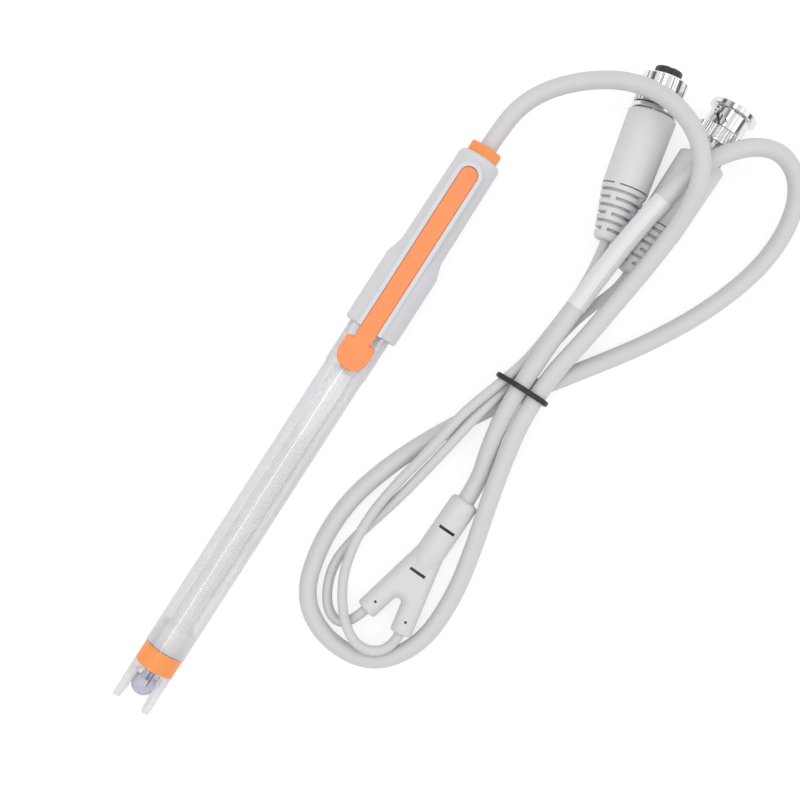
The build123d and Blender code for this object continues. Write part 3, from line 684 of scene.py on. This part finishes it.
FINISHES = {
    "clear_tube": tube_plastic(),
    "grey_moulding": cap_plastic(),
    "orange_rubber": orange_silicone(),
    "orange_plastic": orange_moulding(),
    "black_rubber": tie_rubber(),
    "clear_guard": guard_plastic(),
    "stem_glass": stem_glass(),
    "dark_wire": black_sheath(),
    "silver_wire": plated_metal("silver_wire", (0.82, 0.82, 0.82), roughness=0.3),
    "grey_seal": seal_rubber(),
    "black_sheath": black_sheath(),
    "white_ceramic": porous_ceramic(),
    "grey_cable": cable_jacket(),
    "white_label": label_film(),
    "splitter_rubber": splitter_moulding(),
    "boot_rubber": boot_rubber(),
    "plug_chrome": plated_metal("plug_chrome", (0.78, 0.77, 0.78), roughness=0.14),
    "black_insert": insert_plastic(),
    "gold_contact": plated_metal("gold_contact", (0.83, 0.62, 0.28), roughness=0.25),
    "white_insulator": white_insulator(),
}
FINISHES["tie_rubber"] = FINISHES["black_rubber"]


def finish(piece, slot):
    """Gives a piece the finish of a record slot."""
    piece.data.materials.clear()
    piece.data.materials.append(FINISHES[slot])


# Finishes of the carried-over solids
for subpart in frame["record"]["subparts"]:
    finish(frame["nodes"][subpart["node"]], subpart["material_slot"])


def cord_curve(name, route, diameter):
    """Smooth cord through a route's control points."""
    curve = bpy.data.curves.new(name, "CURVE")
    curve.dimensions = "3D"
    curve.resolution_u = 8
    curve.bevel_depth = diameter * MM / 2
    curve.bevel_resolution = 7
    curve.use_fill_caps = True
    spline = curve.splines.new("NURBS")
    spline.points.add(len(route) - 1)
    for point, place in zip(spline.points, route):
        point.co = (*(Vector(place) * MM), 1.0)
    spline.order_u = 3
    spline.use_endpoint_u = True
    piece = bpy.data.objects.new(name, curve)
    bpy.context.collection.objects.link(piece)
    return piece


main_cord = cord_curve("main_cord", MAIN_ROUTE, CABLE_D)
ph_cord = cord_curve("ph_cord", PH_TAIL_ROUTE, TAIL_D)
temperature_cord = cord_curve("temperature_cord", TEMPERATURE_TAIL_ROUTE, TAIL_D)
for cord in (main_cord, ph_cord, temperature_cord):
    finish(cord, "grey_cable")
    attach(cord, "electrode_body")
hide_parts("main_cable")
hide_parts("ph_tail")
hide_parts("temperature_tail")

# Own directions of the electrode and of the splitter, in which their pieces are modelled
AXIS_FRAME = Matrix.Translation(AXIS_START * MM) @ Matrix((LONG, SIDE, UP)).transposed().to_4x4()
SPLITTER_FRAME = Matrix.Translation(SPLITTER_PLACE * MM) @ Matrix.Rotation(SPLITTER_TURN, 4, "Z")


def only(piece):
    """Goes to object mode with one piece selected and active."""
    if bpy.context.mode != "OBJECT":
        bpy.ops.object.mode_set(mode="OBJECT")
    bpy.ops.object.select_all(action="DESELECT")
    piece.select_set(True)
    bpy.context.view_layer.objects.active = piece


def started(name):
    """Names the primitive just added and opens all of it for editing."""
    piece = bpy.context.object
    piece.name = name
    only(piece)
    bpy.ops.object.transform_apply(location=True, rotation=True, scale=True)
    bpy.ops.object.mode_set(mode="EDIT")
    bpy.ops.mesh.select_mode(type="VERT")
    bpy.ops.mesh.select_all(action="SELECT")
    return piece


def pick(piece, test):
    """Selects the points that pass a test and leaves the piece in edit mode."""
    bpy.ops.mesh.select_all(action="DESELECT")
    bpy.ops.object.mode_set(mode="OBJECT")
    for point in piece.data.vertices:
        point.select = test(point.co / MM)
    bpy.ops.object.mode_set(mode="EDIT")


def push(x=0.0, z=0.0):
    """Extrudes what is selected along the piece and upwards, in millimetres."""
    bpy.ops.mesh.extrude_region_move(TRANSFORM_OT_translate={"value": (x * MM, 0.0, z * MM)})


def carve(piece, tool, operation="DIFFERENCE"):
    """Cuts a tool out of a piece, or joins it on, and drops the tool."""
    only(piece)
    cut = piece.modifiers.new("cut", "BOOLEAN")
    cut.operation = operation
    cut.object = tool
    cut.solver = "EXACT"
    bpy.ops.object.modifier_apply(modifier=cut.name)
    bpy.data.objects.remove(tool)


def lay(piece, place, smooth_under=35.0):
    """Moves a finished piece into place and leaves it unturned at the origin."""
    only(piece)
    piece.matrix_world = place
    bpy.ops.object.transform_apply(location=True, rotation=True, scale=True)
    bpy.ops.object.shade_smooth_by_angle(angle=math.radians(smooth_under))


def add_rod(x_from, x_to, radius):
    """Cylinder along the first direction between two stations in millimetres."""
    bpy.ops.object.select_all(action="DESELECT")
    bpy.ops.mesh.primitive_cylinder_add(
        vertices=128,
        radius=radius * MM,
        depth=(x_to - x_from) * MM,
        location=((x_from + x_to) / 2 * MM, 0.0, 0.0),
        rotation=(0.0, math.pi / 2, 0.0),
    )


def add_post(x, y, low, high, radius):
    """Upright cylinder between two heights in millimetres."""
    bpy.ops.object.select_all(action="DESELECT")
    bpy.ops.mesh.primitive_cylinder_add(
        vertices=32,
        radius=radius * MM,
        depth=(high - low) * MM,
        location=(x * MM, y * MM, (low + high) / 2 * MM),
    )


def add_block(low, high):
    """Box between two corners in millimetres."""
    bpy.ops.object.select_all(action="DESELECT")
    bpy.ops.mesh.primitive_cube_add(
        size=1.0,
        location=[(a + b) / 2 * MM for a, b in zip(low, high)],
        scale=[(b - a) * MM for a, b in zip(low, high)],
    )


# One rubber piece: strip, neck and head with the stopper that fills the hole
def rubber_rows():
    """Stations along the rubber and its half width at each."""
    strip_half = STRIP_WIDTH / 2
    head_half = HEAD_WIDTH / 2
    rows = []
    for step in range(END_ROWS):
        turn = math.radians(END_FIRST_TURN - END_TURN_STEP * step)
        rows.append((STRIP_END - strip_half * (1 - math.sin(turn)), strip_half * math.cos(turn)))
    for station in STRIP_ROWS:
        rows.append((station, strip_half))
    for step in range(BEND_ROWS):
        rows.append((HINGE_X + BEND_FIRST - BEND_STEP * step, strip_half))
    for back, share in SHOULDER_ROWS:
        rows.append((NECK_END - back, strip_half + (head_half - strip_half) * share))
    for step in range(HEAD_ROWS):
        turn = math.radians(HEAD_TURN_STEP * step)
        rows.append((HEAD_CENTRE - head_half * math.sin(turn), head_half * math.cos(turn)))
    return rows


def model_filler_rubber():
    """Grid whose rows wait apart until each is sent to its station, then thickened and cut to fit."""
    rows = rubber_rows()
    cells = len(rows) - 1
    bpy.ops.object.select_all(action="DESELECT")
    bpy.ops.mesh.primitive_grid_add(x_subdivisions=cells, y_subdivisions=ROW_CELLS, size=1.0)
    rubber = started("filler_rubber")
    bpy.ops.transform.resize(value=(cells * MM, 2.0 * MM, 1.0))
    bpy.ops.transform.translate(value=((PARKED + cells / 2) * MM, 0.0, HEAD_LOW * MM))
    for index, (station, half) in enumerate(rows):
        pick(rubber, lambda at: abs(at.x - PARKED - index) < ROW_NEAR)
        bpy.ops.transform.translate(value=((station - PARKED - index) * MM, 0.0, 0.0))
        bpy.ops.transform.resize(value=(1.0, half, 1.0), center_override=(0.0, 0.0, 0.0))
    bpy.ops.mesh.select_all(action="SELECT")
    push(z=STRIP_TOP - HEAD_LOW)
    bpy.ops.mesh.region_to_loop()
    bpy.ops.mesh.bevel(offset=RUBBER_EDGE * MM, segments=3, affect="EDGES", loop_slide=False)
    bpy.ops.mesh.select_all(action="SELECT")
    bpy.ops.mesh.normals_make_consistent(inside=False)
    bpy.ops.object.mode_set(mode="OBJECT")
    add_rod(HEAD_END - CUT_PAST, CAP_END - CAP_GAP, HEAD_REST_R)
    carve(rubber, bpy.context.object)
    add_block((SHOULDER_END + HEEL, -CUT_HALF, 0.0), (STRIP_END + CUT_PAST, CUT_HALF, STRIP_FLOOR))
    carve(rubber, bpy.context.object)
    add_post(HOLE_CENTRE, 0.0, STOPPER_LOW, STOPPER_TOP, STOPPER_R)
    carve(rubber, bpy.context.object, "UNION")
    return rubber


filler_rubber = model_filler_rubber()
lay(filler_rubber, AXIS_FRAME)
finish(filler_rubber, "orange_rubber")
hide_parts("filler_strip", "filler_flap")
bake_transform(filler_rubber)


# Filling liquid with the air bubble that lies under the flap
def model_filling_liquid():
    add_rod(RING_TOP + LIQUID_FOOT, CAP_END + LIQUID_HEAD, BORE_R + LIQUID_LAP)
    liquid = started("filling_liquid")
    bpy.ops.mesh.bisect(
        plane_co=(BUBBLE_TIP * MM, 0.0, BORE_R * MM),
        plane_no=BUBBLE_TILT,
        use_fill=True,
        clear_outer=True,
    )
    bpy.ops.object.mode_set(mode="OBJECT")
    return liquid


filling_liquid = model_filling_liquid()
lay(filling_liquid, AXIS_FRAME)
filling_liquid.data.materials.append(milky_liquid())
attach(filling_liquid, "electrode_body")


# Finely threaded sleeve round the glass stem
def model_stem_sleeve():
    bpy.ops.object.select_all(action="DESELECT")
    bpy.ops.mesh.primitive_plane_add(size=1.0)
    sleeve = started("stem_sleeve")
    bpy.ops.mesh.merge(type="CENTER")
    bpy.ops.transform.translate(value=(SLEEVE_START * MM, 0.0, SLEEVE_ROOT_R * MM))
    push(x=SLEEVE_PITCH / 2, z=SLEEVE_CREST_R - SLEEVE_ROOT_R)
    push(x=SLEEVE_PITCH / 2, z=SLEEVE_ROOT_R - SLEEVE_CREST_R)
    bpy.ops.object.mode_set(mode="OBJECT")
    thread = sleeve.modifiers.new("thread", "SCREW")
    thread.axis = "X"
    thread.angle = 2 * math.pi
    thread.screw_offset = SLEEVE_PITCH * MM
    thread.iterations = SLEEVE_TURNS
    thread.steps = SLEEVE_STEPS
    thread.render_steps = SLEEVE_STEPS
    only(sleeve)
    bpy.ops.object.modifier_apply(modifier=thread.name)
    bpy.ops.object.mode_set(mode="EDIT")
    bpy.ops.mesh.select_all(action="SELECT")
    bpy.ops.mesh.remove_doubles(threshold=TURN_JOIN * MM)
    bpy.ops.mesh.normals_make_consistent(inside=False)
    bpy.ops.object.mode_set(mode="OBJECT")
    wall = sleeve.modifiers.new("wall", "SOLIDIFY")
    wall.thickness = SLEEVE_WALL * MM
    wall.offset = -1.0
    bpy.ops.object.modifier_apply(modifier=wall.name)
    return sleeve


stem_sleeve = model_stem_sleeve()
lay(stem_sleeve, AXIS_FRAME, smooth_under=60.0)
stem_sleeve.data.materials.append(painted_shade_sleeve())
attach(stem_sleeve, "electrode_body")


# Cloudy filling of the bulb
def model_bulb_gel():
    bpy.ops.object.select_all(action="DESELECT")
    bpy.ops.mesh.primitive_uv_sphere_add(
        segments=48,
        ring_count=24,
        radius=BULB_GEL_R * MM,
        location=(BULB_X * MM, 0.0, 0.0),
        rotation=(0.0, math.pi / 2, 0.0),
    )
    gel = started("bulb_gel")
    bpy.ops.mesh.bisect(
        plane_co=((BULB_X + GEL_SHOULDER) * MM, 0.0, 0.0),
        plane_no=(1.0, 0.0, 0.0),
        use_fill=True,
        clear_outer=True,
    )
    pick(gel, lambda at: at.x > BULB_X + GEL_SHOULDER - PICK_NEAR)
    push(x=GEL_NECK)
    bpy.ops.object.mode_set(mode="OBJECT")
    return gel


bulb_gel = model_bulb_gel()
lay(bulb_gel, AXIS_FRAME)
bulb_gel.data.materials.append(bulb_filling())
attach(bulb_gel, "electrode_body")


# Black blocks in the windows and dots of the splitter: painted shade for their depth
def model_splitter_window_shade():
    bars = []
    for station in WINDOW_STATIONS:
        add_block(
            (station - WINDOW_LENGTH / 2, -WINDOW_WIDTH / 2, SHADE_BLOCK_FLOOR),
            (station + WINDOW_LENGTH / 2, WINDOW_WIDTH / 2, SHADE_BLOCK_TOP),
        )
        bars.append(started("splitter_window_shade"))
        bpy.ops.mesh.bevel(offset=SHADE_BLOCK_EDGE * MM, segments=2, affect="EDGES")
        bpy.ops.object.mode_set(mode="OBJECT")
    shade_blocks, second_bar = bars
    carve(shade_blocks, second_bar, "UNION")
    for side in (-1, 1):
        add_post(DOT_STATION, side * DOT_ASIDE, SHADE_BLOCK_FLOOR, SHADE_BLOCK_TOP - DOT_DROP, DOT_R)
        carve(shade_blocks, bpy.context.object, "UNION")
    return shade_blocks


splitter_window_shade = model_splitter_window_shade()
lay(splitter_window_shade, SPLITTER_FRAME)
# The black finish on these blocks paints the shade of the splitter's windows and dots
finish(splitter_window_shade, "black_rubber")
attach(splitter_window_shade, "electrode_body")


# Label wrapped round one strand: white face and clear tail
def strand_points(route, first, last):
    """Points of a cord's own curve from the middle of one run to the middle of another."""
    bare = cord_curve("bare_route", route, 0.0)
    shape = bpy.data.meshes.new_from_object(bare)
    points = [point.co.copy() for point in shape.vertices]
    ends = []
    for run in (first, last):
        middle = (Vector(route[run]) + Vector(route[run + 1])) / 2 * MM
        ends.append(min(range(len(points)), key=lambda index: (points[index] - middle).length))
    bpy.data.objects.remove(bare)
    bpy.data.meshes.remove(shape)
    return points[ends[0] : ends[1] + 1]


def model_label():
    points = strand_points(MAIN_ROUTE, *LABEL_RUNS)
    curve = bpy.data.curves.new("label_wrap", "CURVE")
    curve.dimensions = "3D"
    curve.bevel_depth = LABEL_D / 2 * MM
    curve.bevel_resolution = 14
    curve.use_fill_caps = True
    spline = curve.splines.new("POLY")
    spline.points.add(len(points) - 1)
    for point, place in zip(spline.points, points):
        point.co = (*place, 1.0)
    wrap = bpy.data.objects.new("label_wrap", curve)
    bpy.context.collection.objects.link(wrap)
    only(wrap)
    bpy.ops.object.convert(target="MESH")
    wrap.data.materials.clear()
    wrap.data.materials.append(FINISHES["white_label"])
    wrap.data.materials.append(label_tail())
    strand = (points[-1] - points[0]).normalized()
    aside = strand.cross(Vector((0.0, 0.0, 1.0))).normalized()
    if aside.y > 0:
        aside.negate()
    for face in wrap.data.polygons:
        face.material_index = 1 if face.normal.dot(aside) > LABEL_EDGE else 0
    return wrap


label_wrap = model_label()
lay(label_wrap, Matrix.Identity(4), smooth_under=40.0)
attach(label_wrap, "electrode_body")
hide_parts("cable_label")


# White floor that keeps a faint shadow
def floor_finish():
    """Bright where it is seen or mirrored, plain white paper where it only throws light back."""
    material = bpy.data.materials.new("white_floor")
    material.use_nodes = True
    nodes, links = material.node_tree.nodes, material.node_tree.links
    nodes.clear()
    leave = nodes.new("ShaderNodeOutputMaterial")
    paper = nodes.new("ShaderNodeBsdfDiffuse")
    paper.inputs["Color"].default_value = (0.8, 0.8, 0.8, 1.0)
    veil = nodes.new("ShaderNodeBsdfDiffuse")
    veil.inputs["Color"].default_value = (0.3, 0.3, 0.3, 1.0)
    glow = nodes.new("ShaderNodeEmission")
    glow.inputs["Strength"].default_value = 0.76
    seen = nodes.new("ShaderNodeAddShader")
    links.new(veil.outputs[0], seen.inputs[0])
    links.new(glow.outputs[0], seen.inputs[1])
    path = nodes.new("ShaderNodeLightPath")
    glossy = nodes.new("ShaderNodeMath")
    glossy.operation = "MAXIMUM"
    links.new(path.outputs["Is Camera Ray"], glossy.inputs[0])
    links.new(path.outputs["Is Glossy Ray"], glossy.inputs[1])
    direct = nodes.new("ShaderNodeMath")
    direct.operation = "MAXIMUM"
    links.new(glossy.outputs[0], direct.inputs[0])
    links.new(path.outputs["Is Transmission Ray"], direct.inputs[1])
    mix = nodes.new("ShaderNodeMixShader")
    links.new(direct.outputs[0], mix.inputs["Fac"])
    links.new(paper.outputs[0], mix.inputs[1])
    links.new(seen.outputs[0], mix.inputs[2])
    links.new(mix.outputs[0], leave.inputs["Surface"])
    return material


bpy.ops.object.select_all(action="DESELECT")
bpy.ops.mesh.primitive_plane_add(size=FLOOR_SIZE * MM, location=(0.0, 0.0, -FLOOR_DROP * MM))
floor = bpy.context.object
floor.name = "floor"
floor.data.materials.append(floor_finish())


# Soft studio light
def studio_world():
    """White tent for the surfaces, darker bands for what the plating mirrors, white behind the part."""
    world = bpy.data.worlds.new("studio")
    world.use_nodes = True
    nodes, links = world.node_tree.nodes, world.node_tree.links
    tent = nodes["Background"]
    tent.inputs["Color"].default_value = (1.0, 1.0, 1.0, 1.0)
    tent.inputs["Strength"].default_value = 0.84
    white = nodes.new("ShaderNodeBackground")
    white.inputs["Color"].default_value = (1.0, 1.0, 1.0, 1.0)
    white.inputs["Strength"].default_value = 1.0
    bands = nodes.new("ShaderNodeBackground")
    bands.inputs["Strength"].default_value = 1.0
    place = nodes.new("ShaderNodeTexCoord")
    split = nodes.new("ShaderNodeSeparateXYZ")
    links.new(place.outputs["Generated"], split.inputs[0])
    ramp = nodes.new("ShaderNodeValToRGB")
    low, high = ramp.color_ramp.elements
    low.position = 0.0
    low.color = (MIRROR_LOW, MIRROR_LOW, MIRROR_LOW, 1.0)
    high.position = 1.0
    high.color = (MIRROR_HIGH, MIRROR_HIGH, MIRROR_HIGH, 1.0)
    for height, level in MIRROR_BANDS:
        stop = ramp.color_ramp.elements.new(height)
        stop.color = (level, level, level * MIRROR_BLUE, 1.0)
    links.new(split.outputs["Z"], ramp.inputs["Fac"])
    links.new(ramp.outputs["Color"], bands.inputs["Color"])
    path = nodes.new("ShaderNodeLightPath")
    mirrored = nodes.new("ShaderNodeMixShader")
    links.new(path.outputs["Is Glossy Ray"], mirrored.inputs["Fac"])
    links.new(tent.outputs[0], mirrored.inputs[1])
    links.new(bands.outputs[0], mirrored.inputs[2])
    seen = nodes.new("ShaderNodeMixShader")
    links.new(path.outputs["Is Camera Ray"], seen.inputs["Fac"])
    links.new(mirrored.outputs[0], seen.inputs[1])
    links.new(white.outputs[0], seen.inputs[2])
    links.new(seen.outputs[0], nodes["World Output"].inputs["Surface"])
    return world


bpy.context.scene.world = studio_world()


def softbox(name, place, aim, width, depth, power):
    """Flat lamp at a place, turned to what it aims at, in metres and watts."""
    lamp = bpy.data.lights.new(name, "AREA")
    lamp.shape = "RECTANGLE"
    lamp.size = width
    lamp.size_y = depth
    lamp.energy = power
    holder = bpy.data.objects.new(name, lamp)
    bpy.context.collection.objects.link(holder)
    holder.location = place
    holder.rotation_euler = (Vector(aim) - Vector(place)).to_track_quat("-Z", "Y").to_euler()


softbox(
    "softbox_left", place=(-0.2, 0.6, 0.7), aim=(0.0, -0.02, 0.0), width=1.0, depth=0.6, power=0.45
)
softbox("strip_light", place=(-0.03, 0.16, 0.8), aim=(-0.03, 0.0, 0.0), width=0.9, depth=0.1, power=1.2)
softbox(
    "softbox_right", place=(0.35, -0.6, 0.7), aim=(0.03, -0.03, 0.0), width=1.0, depth=0.6, power=1.5
)

# Camera looking straight down
camera_data = bpy.data.cameras.new("camera")
camera_data.lens = CAMERA_LENS
camera_data.sensor_width = CAMERA_SENSOR
camera = bpy.data.objects.new("camera", camera_data)
bpy.context.collection.objects.link(camera)
camera_back = CAMERA_RIGHT.cross(CAMERA_UP)
camera_turn = Matrix((CAMERA_RIGHT, CAMERA_UP, camera_back)).transposed().to_4x4()
camera_place = Vector((*CAMERA_OVER, CAMERA_HEIGHT)) * MM
camera.matrix_world = Matrix.Translation(camera_place) @ camera_turn
bpy.context.scene.camera = camera
bpy.context.scene.view_settings.view_transform = "Standard"
